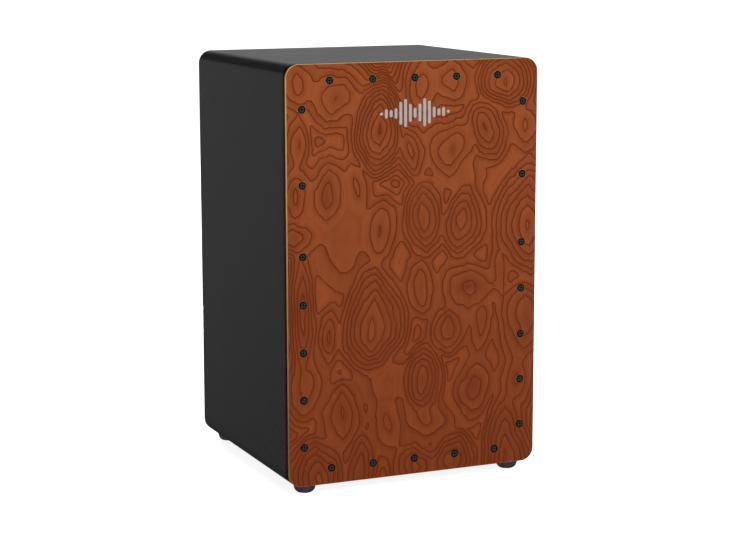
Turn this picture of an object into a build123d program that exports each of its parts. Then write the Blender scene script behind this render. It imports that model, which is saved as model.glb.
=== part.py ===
from build123d import *
import os
from math import asin, atan2, degrees, hypot

# Cajon, a wooden box drum. Width runs along X and depth along Y, with the playing face (the tapa)
# at the front, facing -Y. Height runs along Z, from the floor at 0. All sizes are in millimetres.

# Overall size
width = 300.0
depth = 285.0
box_height = 460.0
foot_height = 10.0

# Shell: four mitred panels with rounded long corners
wall = 12.0
corner_radius = 15.0
front_roundover = 4.0
rear_roundover = 3.0

# Tapa
tapa_thickness = 3.0
tapa_edge_radius = 1.4

# Battens behind the tapa and in front of the back panel
batten_width = 12.0
front_batten_depth = 20.0
rear_batten_depth = 18.0
corner_block_leg = 18.0

# Back panel and its sound hole
back_thickness = 5.0
back_gap = 0.4
sound_hole_radius = 57.5
sound_hole_height = 275.0
sound_hole_chamfer = 0.8

# Countersunk cross-head screws that hold the tapa and the back panel
screw_head_radius = 4.3
screw_shank_radius = 1.75
screw_length = 16.0
screw_point = 4.0
screw_rim = 0.2
screw_sink = 0.2
countersink_clearance = 0.45
hole_clearance = 0.1
recess_span = 4.6
recess_arm = 1.1
recess_depth = 1.9
recess_taper = 10.0
row_inset = 18.0
row_pitch = 50.0
row_count = 5
column_first = 44.0
column_pitches = (52.5, 52.5, 52.5, 52.5, 77.0, 81.0)
back_screw_inset = 6.0
back_row_half = 88.0
back_column_half = 145.0

# Feet, each with a washer and a pan-head screw in its recess
foot_top_radius = 13.0
foot_waist_radius = 11.8
foot_waist_height = 5.0
foot_base_radius = 8.0
foot_side_inset = 25.0
foot_end_inset = 18.0
foot_recess_radius = 5.2
foot_recess_depth = 4.5
foot_washer_radius = 4.9
foot_washer_thickness = 1.0
foot_screw_radius = 2.0
foot_screw_length = 24.5

# Snare bar and its pivot
bar_size = 18.0
bar_chamfer = 2.0
pivot_height = 360.0
pivot_behind_batten = 15.5
pivot_screw_radius = 2.0
pivot_screw_length = 22.0
friction_washer_radius = 6.0
friction_washer_thickness = 0.8
side_play = 0.1

# Snare brackets: a foot on the batten and a leg that carries the pivot screw
bracket_thickness = 2.0
bracket_half_height = 18.0
bracket_leg_end_radius = 11.0
bracket_screw_offset = 12.0
bracket_screw_radius = 1.5
bracket_screw_length = 12.0

# Snare plates and wires
plate_width = 56.0
plate_height = 16.0
plate_thickness = 0.8
plate_centre = 74.0
plate_screw_offset = 18.0
plate_screw_drop = 4.0
plate_screw_radius = 1.25
plate_screw_length = 8.0
wire_radius = 0.8
wire_count = 10
wire_pitch = 5.0
wire_start = 1.0
wire_reach = 82.0
wire_gap = 0.4

# Places worked out from the sizes above
half_width = width / 2
floor_z = foot_height
top_z = foot_height + box_height
middle_z = foot_height + box_height / 2
face_y = -depth / 2
shell_front_y = face_y + tapa_thickness
rear_y = depth / 2
back_front_y = rear_y - back_thickness
inner_half = half_width - wall
inner_bottom_z = floor_z + wall
inner_top_z = top_z - wall
front_batten_rear_y = shell_front_y + front_batten_depth
rear_batten_front_y = back_front_y - rear_batten_depth
sides = {"left": -1, "right": 1}
ends = {"front": -1, "rear": 1}

pivot_y = front_batten_rear_y + pivot_behind_batten
leg_outer_x = inner_half - batten_width
leg_inner_x = leg_outer_x - bracket_thickness
bar_half_length = leg_inner_x - side_play - friction_washer_thickness
wire_axis_offset = bar_size / 2 + plate_thickness + wire_radius


def save(name, shape):
    export_step(shape, f"parts/{name}.step")


def place(solid, x, y, z, direction):
    """Set a piece built along local +Z so that its +Z points along the direction given."""
    return Plane(origin=(x, y, z), z_dir=direction) * solid


def box_plane(y):
    """The upright plane at y, centred on the box and facing forward."""
    return Plane(origin=(0, y, middle_z), x_dir=(1, 0, 0), z_dir=(0, -1, 0))


def drill(radius, depth):
    """The space of a pilot hole, from just above 0 down to the depth given."""
    base = (Align.CENTER, Align.CENTER, Align.MIN)
    return Pos(0, 0, -depth) * Cylinder(radius + hole_clearance, depth + 1, align=base)


def block(x_range, y_range, z_range):
    spans = [max(r) - min(r) for r in (x_range, y_range, z_range)]
    centre = [(r[0] + r[1]) / 2 for r in (x_range, y_range, z_range)]
    return Pos(*centre) * Box(*spans)


# ---------------------------------------------------------------- fasteners
def cross_recess(span, arm, recess):
    cross = Rectangle(span, arm) + Rectangle(arm, span)
    return extrude(cross, -recess, taper=recess_taper)


def countersunk_screw():
    head_depth = screw_head_radius - screw_shank_radius
    outline = Polyline(
        (0, 0),
        (screw_head_radius, 0),
        (screw_head_radius, -screw_rim),
        (screw_shank_radius, -screw_rim - head_depth),
        (screw_shank_radius, screw_point - screw_length),
        (0.2, -screw_length),
        (0, -screw_length),
        close=True,
    )
    body = revolve(Plane.XZ * make_face(outline), Axis.Z)
    return body - cross_recess(recess_span, recess_arm, recess_depth)


def countersunk_hole(through):
    """A countersink a little wider than the screw's head, with a clearance hole for its shank."""
    mouth = screw_head_radius + countersink_clearance
    shank = screw_shank_radius + hole_clearance
    outline = Polyline(
        (0, 1),
        (mouth, 1),
        (mouth, -screw_sink),
        (shank, -screw_sink - (mouth - shank)),
        (shank, -through),
        (0, -through),
        close=True,
    )
    return revolve(Plane.XZ * make_face(outline), Axis.Z)


def pan_screw(shank_radius, length, head_radius, head_height):
    """Pan-head screw: the head stands above 0 and the shank points down from 0."""
    outline = Polyline(
        (0, head_height),
        (head_radius * 0.55, head_height),
        (head_radius * 0.9, head_height * 0.72),
        (head_radius, head_height * 0.35),
        (head_radius, 0),
        (shank_radius, 0),
        (shank_radius, shank_radius - length),
        (0.3, -length),
        (0, -length),
        close=True,
    )
    body = revolve(Plane.XZ * make_face(outline), Axis.Z)
    recess = cross_recess(head_radius * 1.1, head_radius * 0.27, head_height * 0.7)
    return body - Pos(0, 0, head_height) * recess


def column_heights():
    heights = [floor_z + column_first]
    for pitch in column_pitches:
        heights.append(heights[-1] + pitch)
    return heights


def row_places():
    return [(i - (row_count - 1) / 2) * row_pitch for i in range(row_count)]


def tapa_screw_groups():
    """Screw centres in the tapa as (x, z), by the edge they follow."""
    column_x = half_width - row_inset
    return {
        "top": [(x, top_z - row_inset) for x in row_places()],
        "bottom": [(x, floor_z + row_inset) for x in row_places()],
        "left": [(-column_x, z) for z in column_heights()],
        "right": [(column_x, z) for z in column_heights()],
    }


def back_screw_places():
    """Screw centres in the back panel as (x, z): four on each long side, two on each short side."""
    column_x = inner_half - back_screw_inset
    row_z = box_height / 2 - wall - back_screw_inset
    places = []
    for side in (-1, 1):
        for step in (-1, -1 / 3, 1 / 3, 1):
            places.append((side * column_x, middle_z + step * back_column_half))
        for across in (-1, 1):
            places.append((across * back_row_half, middle_z + side * row_z))
    return places


# ---------------------------------------------------------------- box
def shell_ring():
    outline = RectangleRounded(width, box_height, corner_radius)
    opening = Rectangle(width - 2 * wall, box_height - 2 * wall)
    ring = extrude(box_plane(rear_y) * (outline - opening), rear_y - shell_front_y)
    front = ring.faces().sort_by(Axis.Y)[0].outer_wire().edges()
    ring = fillet(front, front_roundover)
    rear = ring.faces().sort_by(Axis.Y)[-1].outer_wire().edges()
    return fillet(rear, rear_roundover)


def mitred_panel(ring, outer, inner):
    """The part of the shell between two mitre planes, from its outer corners to its inner ones."""
    outline = Polyline(outer[0], inner[0], inner[1], outer[1], close=True)
    face = Plane.XZ.offset(-rear_y - 1) * make_face(outline)
    return ring & extrude(face, depth + 2, dir=(0, -1, 0))


def side_panel(ring, side):
    outer = [(side * half_width, floor_z), (side * half_width, top_z)]
    inner = [(side * inner_half, inner_bottom_z), (side * inner_half, inner_top_z)]
    return mitred_panel(ring, outer, inner)


def level_panel(ring, outer_z, inner_z):
    outer = [(-half_width, outer_z), (half_width, outer_z)]
    inner = [(-inner_half, inner_z), (inner_half, inner_z)]
    return mitred_panel(ring, outer, inner)


def foot_places():
    foot_x = half_width - foot_side_inset
    foot_y = depth / 2 - foot_end_inset
    return {f"{e}_{s}": (i * foot_x, j * foot_y) for e, j in ends.items() for s, i in sides.items()}


def drill_for_feet(piece):
    """Pilot holes for the foot screws, straight up through whatever stands over the feet."""
    for x, y in foot_places().values():
        piece -= place(drill(foot_screw_radius, foot_recess_depth + foot_screw_length), x, y, 0, (0, 0, -1))
    return piece


def drill_for_screws(piece, places, outer_y, direction):
    """Pilot holes for the screws that go in along Y from the face at outer_y."""
    for x, z in places:
        piece -= place(drill(screw_shank_radius, screw_length + 1), x, outer_y, z, (0, direction, 0))
    return piece


def tapa():
    outline = RectangleRounded(width, box_height, corner_radius)
    board = extrude(box_plane(shell_front_y) * outline, tapa_thickness)
    front = board.faces().sort_by(Axis.Y)[0].outer_wire().edges()
    board = fillet(front, tapa_edge_radius)
    for group in tapa_screw_groups().values():
        for x, z in group:
            board -= place(countersunk_hole(tapa_thickness + 1), x, face_y, z, (0, -1, 0))
    return board


def back_panel():
    spans = (width - 2 * (wall + back_gap), back_thickness, box_height - 2 * (wall + back_gap))
    board = Pos(0, rear_y - back_thickness / 2, middle_z) * Box(*spans)
    hole = Cylinder(sound_hole_radius, 3 * back_thickness)
    board -= place(hole, 0, rear_y, sound_hole_height, (0, 1, 0))
    rim = board.faces().sort_by(Axis.Y)[-1].inner_wires()[0].edges()
    board = chamfer(rim, sound_hole_chamfer)
    for x, z in back_screw_places():
        board -= place(countersunk_hole(back_thickness + 1), x, rear_y, z, (0, 1, 0))
    return board


def battens(y_range):
    """A frame of four battens against the walls: the level ones run right across."""
    z_low = inner_bottom_z + batten_width
    z_high = inner_top_z - batten_width
    frame = {
        "top": block((-inner_half, inner_half), y_range, (z_high, inner_top_z)),
        "bottom": block((-inner_half, inner_half), y_range, (inner_bottom_z, z_low)),
    }
    for side, sign in sides.items():
        x_range = (sign * (inner_half - batten_width), sign * inner_half)
        frame[side] = block(x_range, y_range, (z_low, z_high))
    return frame


def corner_block(side, corner_z, upward):
    """Three-sided glue block in an inner corner of the shell, between the two batten frames."""
    corner = (side * inner_half, corner_z)
    across = (side * (inner_half - corner_block_leg), corner_z)
    along = (side * inner_half, corner_z + upward * corner_block_leg)
    face = Plane.XZ.offset(-rear_batten_front_y) * make_face(Polyline(corner, across, along, close=True))
    return extrude(face, rear_batten_front_y - front_batten_rear_y, dir=(0, -1, 0))


# ---------------------------------------------------------------- feet
def foot():
    bore = foot_screw_radius + hole_clearance
    side = Line((foot_top_radius, foot_height), (foot_waist_radius, foot_waist_height))
    toe = TangentArc(side @ 1, (foot_base_radius, 0), tangent=side % 1)
    rest = Polyline(
        toe @ 1,
        (foot_recess_radius, 0),
        (foot_recess_radius, foot_recess_depth),
        (bore, foot_recess_depth),
        (bore, foot_height),
        side @ 0,
    )
    outline = make_face(Plane.XZ * (side + toe + rest))
    return revolve(outline, Axis.Z)


def ring_washer(outer_radius, inner_radius, thickness):
    """Flat washer standing on 0."""
    disc = Cylinder(outer_radius, thickness, align=(Align.CENTER, Align.CENTER, Align.MIN))
    return disc - Cylinder(inner_radius, 3 * thickness)


# ---------------------------------------------------------------- snare
def engaged_tilt():
    """How far the bar leans forward when the wire tips reach the tapa, in degrees."""
    front_offset = wire_axis_offset + wire_radius
    reach = pivot_y - shell_front_y - wire_gap
    span = hypot(front_offset, wire_reach)
    return degrees(asin(reach / span) - atan2(front_offset, wire_reach))


def on_bar(shape):
    """Move a piece modelled about the bar's own axis to its place, leaning forward."""
    return Pos(0, pivot_y, pivot_height) * Rot(engaged_tilt(), 0, 0) * shape


def plate_screw_places():
    offsets = (-plate_screw_offset, plate_screw_offset)
    return [(sign * plate_centre + offset, -plate_screw_drop) for sign in (-1, 1) for offset in offsets]


def snare_bar():
    bar = Box(2 * bar_half_length, bar_size, bar_size)
    bar = chamfer(bar.edges().filter_by(Axis.X), bar_chamfer)
    end_pilot = drill(pivot_screw_radius, pivot_screw_length)
    for sign in sides.values():
        bar -= place(end_pilot, sign * bar_half_length, 0, 0, (sign, 0, 0))
    face_pilot = drill(plate_screw_radius, plate_screw_length)
    for x, z in plate_screw_places():
        bar -= place(face_pilot, x, -bar_size / 2, z, (0, -1, 0))
    return bar


def pivot_screw(sign):
    screw = pan_screw(pivot_screw_radius, pivot_screw_length, 4.0, 2.6)
    return place(screw, sign * (leg_outer_x + side_play), 0, 0, (sign, 0, 0))


def friction_washer(sign):
    bore = pivot_screw_radius + hole_clearance
    washer = ring_washer(friction_washer_radius, bore, friction_washer_thickness)
    return place(washer, sign * bar_half_length, 0, 0, (sign, 0, 0))


def snare_plate(sign):
    plate_y = (-bar_size / 2 - plate_thickness, -bar_size / 2)
    plate = Pos(0, sum(plate_y) / 2, 0) * Box(plate_width, plate_thickness, plate_height)
    plate = fillet(plate.edges().filter_by(Axis.Y), 2)
    plate = Pos(sign * plate_centre, 0, 0) * plate
    for x, z in plate_screw_places():
        if x * sign > 0:
            plate -= place(Cylinder(plate_screw_radius + hole_clearance, 4), x, plate_y[0], z, (0, -1, 0))
    return plate


def snare_wires(sign):
    """Ten wires lying on the plate's front, each shown by the outer form of its coil."""
    length = wire_reach - wire_start
    wires = []
    for i in range(wire_count):
        x = sign * plate_centre + (i - (wire_count - 1) / 2) * wire_pitch
        wires.append(Pos(x, -wire_axis_offset, wire_start + length / 2) * Cylinder(wire_radius, length))
    return wires


def snare_bracket(sign):
    """Folded steel bracket: a foot on the side batten's rear face and a leg along the bar's end."""
    foot_y = (front_batten_rear_y, front_batten_rear_y + bracket_thickness)
    z_range = (-bracket_half_height, bracket_half_height)
    base = block((sign * leg_outer_x, sign * inner_half), foot_y, z_range)
    leg_x = (sign * leg_inner_x, sign * leg_outer_x)
    root = Polyline(
        (foot_y[0], -bracket_half_height),
        (foot_y[1], -bracket_half_height),
        (pivot_y, -bracket_leg_end_radius),
        (pivot_y, bracket_leg_end_radius),
        (foot_y[1], bracket_half_height),
        (foot_y[0], bracket_half_height),
        close=True,
    )
    side_plane = Plane(origin=(min(leg_x), 0, 0), x_dir=(0, 1, 0), z_dir=(1, 0, 0))
    leg = extrude(side_plane * make_face(root), bracket_thickness, dir=(1, 0, 0))
    nose = Cylinder(bracket_leg_end_radius, bracket_thickness)
    bracket = base + leg + place(nose, sum(leg_x) / 2, pivot_y, 0, (1, 0, 0))
    through = bracket_thickness + 1
    bracket -= place(drill(pivot_screw_radius, through), leg_x[1], pivot_y, 0, (sign, 0, 0))
    for offset in (-bracket_screw_offset, bracket_screw_offset):
        x = sign * (inner_half - batten_width / 2)
        bracket -= place(drill(bracket_screw_radius, through), x, foot_y[1], offset, (0, 1, 0))
    return Pos(0, 0, pivot_height) * bracket


def bracket_screws():
    screw = pan_screw(bracket_screw_radius, bracket_screw_length, 2.9, 1.9)
    seat_y = front_batten_rear_y + bracket_thickness
    screws = []
    for sign in sides.values():
        for offset in (-bracket_screw_offset, bracket_screw_offset):
            x = sign * (inner_half - batten_width / 2)
            screws.append(place(screw, x, seat_y, pivot_height + offset, (0, 1, 0)))
    return screws


def drill_for_brackets(batten, sign):
    pilot = drill(bracket_screw_radius, bracket_screw_length)
    for offset in (-bracket_screw_offset, bracket_screw_offset):
        x = sign * (inner_half - batten_width / 2)
        batten -= place(pilot, x, front_batten_rear_y, pivot_height + offset, (0, 1, 0))
    return batten


# ---------------------------------------------------------------- assembly
def make_box():
    ring = shell_ring()
    save("left_side_panel", side_panel(ring, -1))
    save("right_side_panel", side_panel(ring, 1))
    save("seat_panel", level_panel(ring, top_z, inner_top_z))
    save("bottom_panel", drill_for_feet(level_panel(ring, floor_z, inner_bottom_z)))
    save("tapa", tapa())
    save("back_panel", back_panel())


def make_frames():
    groups = tapa_screw_groups()
    for edge, batten in battens((shell_front_y, front_batten_rear_y)).items():
        batten = drill_for_screws(batten, groups[edge], face_y, -1)
        if edge == "bottom":
            batten = drill_for_feet(batten)
        if edge in sides:
            batten = drill_for_brackets(batten, sides[edge])
        save(f"front_batten_{edge}", batten)
    for edge, batten in battens((rear_batten_front_y, back_front_y)).items():
        batten = drill_for_screws(batten, back_screw_places(), rear_y, 1)
        if edge == "bottom":
            batten = drill_for_feet(batten)
        save(f"rear_batten_{edge}", batten)
    for side, sign in sides.items():
        save(f"corner_block_top_{side}", corner_block(sign, inner_top_z, -1))
        save(f"corner_block_bottom_{side}", corner_block(sign, inner_bottom_z, 1))


def make_screws():
    screw = countersunk_screw()
    for edge, places in tapa_screw_groups().items():
        screws = [place(screw, x, face_y + screw_sink, z, (0, -1, 0)) for x, z in places]
        save(f"tapa_screws_{edge}", Compound(children=screws))
    screws = [place(screw, x, rear_y - screw_sink, z, (0, 1, 0)) for x, z in back_screw_places()]
    save("back_screws", Compound(children=screws))


def make_feet():
    places = foot_places()
    for name, (x, y) in places.items():
        save(f"foot_{name}", Pos(x, y, 0) * foot())
    washer = ring_washer(foot_washer_radius, foot_screw_radius + hole_clearance, foot_washer_thickness)
    seat = foot_recess_depth - foot_washer_thickness
    save("foot_washers", Compound(children=[Pos(x, y, seat) * washer for x, y in places.values()]))
    screw = pan_screw(foot_screw_radius, foot_screw_length, 3.8, 2.4)
    screws = [place(screw, x, y, seat, (0, 0, -1)) for x, y in places.values()]
    save("foot_screws", Compound(children=screws))


def make_snare():
    save("snare_bar", on_bar(snare_bar()))
    for side, sign in sides.items():
        save(f"snare_bracket_{side}", snare_bracket(sign))
        save(f"snare_pivot_screw_{side}", on_bar(pivot_screw(sign)))
        save(f"snare_plate_{side}", on_bar(snare_plate(sign)))
        save(f"snare_wires_{side}", Compound(children=[on_bar(wire) for wire in snare_wires(sign)]))
    save("snare_friction_washers", Compound(children=[on_bar(friction_washer(s)) for s in sides.values()]))
    save("snare_bracket_screws", Compound(children=bracket_screws()))
    screw = pan_screw(plate_screw_radius, plate_screw_length, 2.4, 1.5)
    face = -bar_size / 2 - plate_thickness
    screws = [on_bar(place(screw, x, face, z, (0, -1, 0))) for x, z in plate_screw_places()]
    save("snare_plate_screws", Compound(children=screws))


os.makedirs("parts", exist_ok=True)
make_box()
make_frames()
make_screws()
make_feet()
make_snare()
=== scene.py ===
import math

import bmesh
import bpy
from mathutils import Matrix, Vector


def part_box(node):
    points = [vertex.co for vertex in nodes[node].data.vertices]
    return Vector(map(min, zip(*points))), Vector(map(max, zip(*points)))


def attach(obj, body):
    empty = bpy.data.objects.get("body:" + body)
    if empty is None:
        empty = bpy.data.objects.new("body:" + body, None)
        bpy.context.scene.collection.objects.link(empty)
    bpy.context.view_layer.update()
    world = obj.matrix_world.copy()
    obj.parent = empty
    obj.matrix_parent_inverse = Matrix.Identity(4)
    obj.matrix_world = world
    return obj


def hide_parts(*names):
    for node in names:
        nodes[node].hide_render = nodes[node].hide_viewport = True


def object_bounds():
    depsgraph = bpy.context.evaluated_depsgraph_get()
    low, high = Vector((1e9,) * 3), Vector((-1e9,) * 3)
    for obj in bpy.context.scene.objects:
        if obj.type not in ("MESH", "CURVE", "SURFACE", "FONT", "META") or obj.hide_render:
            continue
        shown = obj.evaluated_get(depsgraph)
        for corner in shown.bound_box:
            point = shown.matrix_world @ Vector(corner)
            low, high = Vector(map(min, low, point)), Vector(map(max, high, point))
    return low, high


bl_info = {
    "name": "Box Drum Finish",
    "version": (1, 0, 0),
    "blender": (4, 5, 0),
    "location": "3D View > Sidebar > Box Drum",
    "description": "Finishes a box drum: burl veneer, black laminate, snare coils, emblem and studio",
    "category": "Object",
}

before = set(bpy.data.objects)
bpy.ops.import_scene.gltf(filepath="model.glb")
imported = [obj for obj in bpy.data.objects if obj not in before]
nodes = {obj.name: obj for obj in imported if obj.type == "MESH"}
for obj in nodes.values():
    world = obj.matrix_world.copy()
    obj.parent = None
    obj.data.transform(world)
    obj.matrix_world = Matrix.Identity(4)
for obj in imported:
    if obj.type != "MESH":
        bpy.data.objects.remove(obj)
cad_low, cad_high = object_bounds()

MM = 0.001
SHELL = ("left_side_panel", "right_side_panel", "seat_panel", "bottom_panel")

# Sizes in millimetres. A pair is where a mask begins and where it is full.
VENEER_THICKNESS = 0.28
VENEER_EDGE_BLUR = 0.04
PLY_THICKNESS = 0.9
RAW_EDGE = 0.2
# Width of the painted dark reflection along the laminate's rounded front edge, counted from the front.
PAINTED_DARK_FRONT_EDGE = (7.0, 9.5)
BACK_RAW_FRONT = (0.15, 0.3)
WIRE_RADIUS = 0.8
WIRE_PITCH = 5.0
SCREW_HEAD = 4.3
SCREW_DISC = 2.7
SCREW_RIM_BLUR = 0.3
SCREW_CROSS = (0.3, 0.9)
ROW_COUNT = 5
ROW_PITCH = 50.0
COLUMN_RISES = (0, 52.5, 105, 157.5, 210, 287, 368)
BACK_SCREWS = [(x, z) for x in (-88, 88) for z in (28, 452)]
BACK_SCREWS += [(x, z) for x in (-132, 132) for z in (95, 191.7, 288.3, 385)]
TIMBER_HEART = (31.0, 47.0, -38.0)
PINE_RINGS = 2.6
BEECH_RINGS = 1.7

WIRE_COUNT = 10
COIL_STEPS = 9
COIL_SIDES = 5
WAVE_BEATS = 3.0

# Linear colours. The ply edge's painted shade colour darkens the ply edge towards the bottom of the tapa, in
# place of the shade that falls there.
PLY_LIGHT = (0.60, 0.41, 0.20, 1.0)
PLY_DARK = (0.40, 0.24, 0.10, 1.0)
PLY_GLUE = (0.12, 0.06, 0.03, 1.0)
PLY_PAINTED_SHADE = (0.16, 0.06, 0.02, 1.0)
BACK_BIRCH = (0.66, 0.48, 0.28, 1.0)
PINE = ((0.62, 0.44, 0.25, 1.0), (0.40, 0.22, 0.09, 1.0))
BEECH = ((0.56, 0.36, 0.20, 1.0), (0.42, 0.24, 0.12, 1.0))
ZINC = ((0.60, 0.60, 0.59, 1.0), (0.40, 0.41, 0.40, 1.0))
STEEL = ((0.68, 0.68, 0.67, 1.0), (0.42, 0.42, 0.42, 1.0))
BRASS = ((0.72, 0.50, 0.20, 1.0), (0.45, 0.28, 0.10, 1.0))
TIN = ((0.55, 0.55, 0.54, 1.0), (0.30, 0.30, 0.30, 1.0))
NYLON = ((0.86, 0.85, 0.80, 1.0), (0.70, 0.69, 0.62, 1.0))
# Painted shade for the depth of the screws' cross recesses.
RECESS_PAINTED_SHADE = (0.001, 0.001, 0.001, 1.0)
SHADE_TINT = (0.62, 0.45, 0.34)
WHITE = (1.0, 1.0, 1.0)
MIDDLE_GREY = (0.5, 0.5, 0.5)
VENEER_SPECULAR = 0.06

# Area lights: name, place in metres, width, height, and whether reflections show it.
LIGHTS = (
    ("key", (0.5, -2.7, 2.1), 2.0, 1.4, True),
    ("top", (0.0, -0.2, 2.6), 1.2, 1.2, True),
    ("fill", (-2.6, -0.8, 1.6), 1.6, 1.6, True),
    ("right", (2.7, -0.2, 1.7), 1.6, 1.6, True),
    ("back", (0.9, 2.5, 2.1), 1.8, 1.8, False),
    ("hole", (0.0, 1.0, 0.10), 0.3, 0.2, False),
)
HOLE_TARGET = (0.0, -0.10, 0.37)

# World light by direction, x right, y back, z up, as pairs again.
CARD_BOTTOM, CARD_TOP = (-0.01, 0.02), (0.28, 0.40)
CARD_RIGHT, CARD_BACK = (0.02, 0.24), (0.3, 0.6)
GROUND_RISE, GROUND_RIM = (-0.52, 0.0), (-0.03, 0.03)
GROUND_TOP, GROUND_RIGHT = 0.17, (0.0, 0.15)
FAR_SIDE = (0.45, 0.85)
FRONT_TOP = (0.35, 0.55)
CEILING_RISE = (0.55, 0.90)


# ---------------------------------------------------------------- shader maths
class Sock:
    """One shader socket that takes part in Python expressions by adding Math nodes."""

    def __init__(self, tree, socket):
        self.tree = tree
        self.socket = socket

    def math(self, operation, *values, clamp=False):
        values = [self, *values]
        return self.tree.node("ShaderNodeMath", {"operation": operation, "use_clamp": clamp}, values)

    def __add__(self, other):
        return self.math("ADD", other)

    def __radd__(self, other):
        return self.math("ADD", other)

    def __sub__(self, other):
        return self.math("SUBTRACT", other)

    def __rsub__(self, other):
        return self.tree.value_math("SUBTRACT", other, self)

    def __mul__(self, other):
        return self.math("MULTIPLY", other)

    def __rmul__(self, other):
        return self.math("MULTIPLY", other)

    def __truediv__(self, other):
        return self.math("DIVIDE", other)

    def __rtruediv__(self, other):
        return self.tree.value_math("DIVIDE", other, self)

    def __pow__(self, other):
        return self.math("POWER", other)

    def __rpow__(self, other):
        return self.tree.value_math("POWER", other, self)

    def __neg__(self):
        return self.math("MULTIPLY", -1.0)

    def __abs__(self):
        return self.math("ABSOLUTE")

    def clamp(self):
        return self.math("ADD", 0.0, clamp=True)

    def fraction(self):
        return self.math("FRACT")

    def least(self, other):
        return self.math("MINIMUM", other)

    def most(self, other):
        return self.math("MAXIMUM", other)

    def ease(self, start, end):
        """0 at start and before it, 1 at end and after it, with a smooth turn between."""
        settings = {"interpolation_type": "SMOOTHSTEP", "clamp": True}
        sockets = {"Value": self, "From Min": start, "From Max": end}
        return self.tree.node("ShaderNodeMapRange", settings, sockets)


class Tree:
    """A node tree with one method that adds any node."""

    def __init__(self, tree):
        self.tree = tree

    def node(self, kind, settings=None, sockets=None, out=0):
        node = self.tree.nodes.new(kind)
        for name, value in (settings or {}).items():
            setattr(node, name, value)
        pairs = sockets.items() if isinstance(sockets, dict) else enumerate(sockets or [])
        for key, value in pairs:
            if isinstance(value, Sock):
                self.tree.links.new(value.socket, node.inputs[key])
            elif value is not None:
                node.inputs[key].default_value = value
        return Sock(self, node.outputs[out]) if node.outputs else node

    def value_math(self, operation, first, second):
        return self.node("ShaderNodeMath", {"operation": operation}, [first, second])

    def vector(self, operation, *values, out=0):
        return self.node("ShaderNodeVectorMath", {"operation": operation}, list(values), out)

    def scale(self, vector, factor):
        return self.node("ShaderNodeVectorMath", {"operation": "SCALE"}, {"Vector": vector, "Scale": factor})

    def noise(self, vector, size, detail=2.0, roughness=0.5, colour=False):
        """Noise whose features are about size across, in the vector's own units."""
        sockets = {"Vector": vector, "Scale": 1.0 / size, "Detail": detail, "Roughness": roughness}
        return self.node("ShaderNodeTexNoise", {"noise_dimensions": "3D"}, sockets, 1 if colour else 0)

    def mix(self, factor, first, second):
        """Colour mix. Its sockets go by number, because several share a name."""
        node = self.tree.nodes.new("ShaderNodeMix")
        node.data_type = "RGBA"
        node.clamp_factor = True
        for index, value in ((0, factor), (6, first), (7, second)):
            if isinstance(value, Sock):
                self.tree.links.new(value.socket, node.inputs[index])
            else:
                node.inputs[index].default_value = value
        return Sock(self, node.outputs[2])

    def parts(self, vector):
        node = self.tree.nodes.new("ShaderNodeSeparateXYZ")
        self.tree.links.new(vector.socket, node.inputs[0])
        return [Sock(self, output) for output in node.outputs]

    def bump(self, height, distance, strength=1.0):
        sockets = {"Height": height, "Distance": distance, "Strength": strength}
        return self.node("ShaderNodeBump", None, sockets)


def new_material(name, build, fixed):
    """A Principled material. build gives base colour, roughness and normal; fixed holds constants."""
    material = bpy.data.materials.new(name)
    material.use_nodes = True
    shader = material.node_tree.nodes["Principled BSDF"]
    tree = Tree(material.node_tree)
    for socket_name, value in zip(("Base Color", "Roughness", "Normal"), build(tree)):
        material.node_tree.links.new(value.socket, shader.inputs[socket_name])
    for socket_name, value in fixed.items():
        shader.inputs[socket_name].default_value = value
    return material


def object_place(tree):
    return tree.node("ShaderNodeTexCoord", None, None, 3)


def dress(name, material):
    """Give every material slot of a frame node the same finish."""
    mesh = nodes[name].data
    mesh.materials.clear()
    mesh.materials.append(material)


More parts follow.
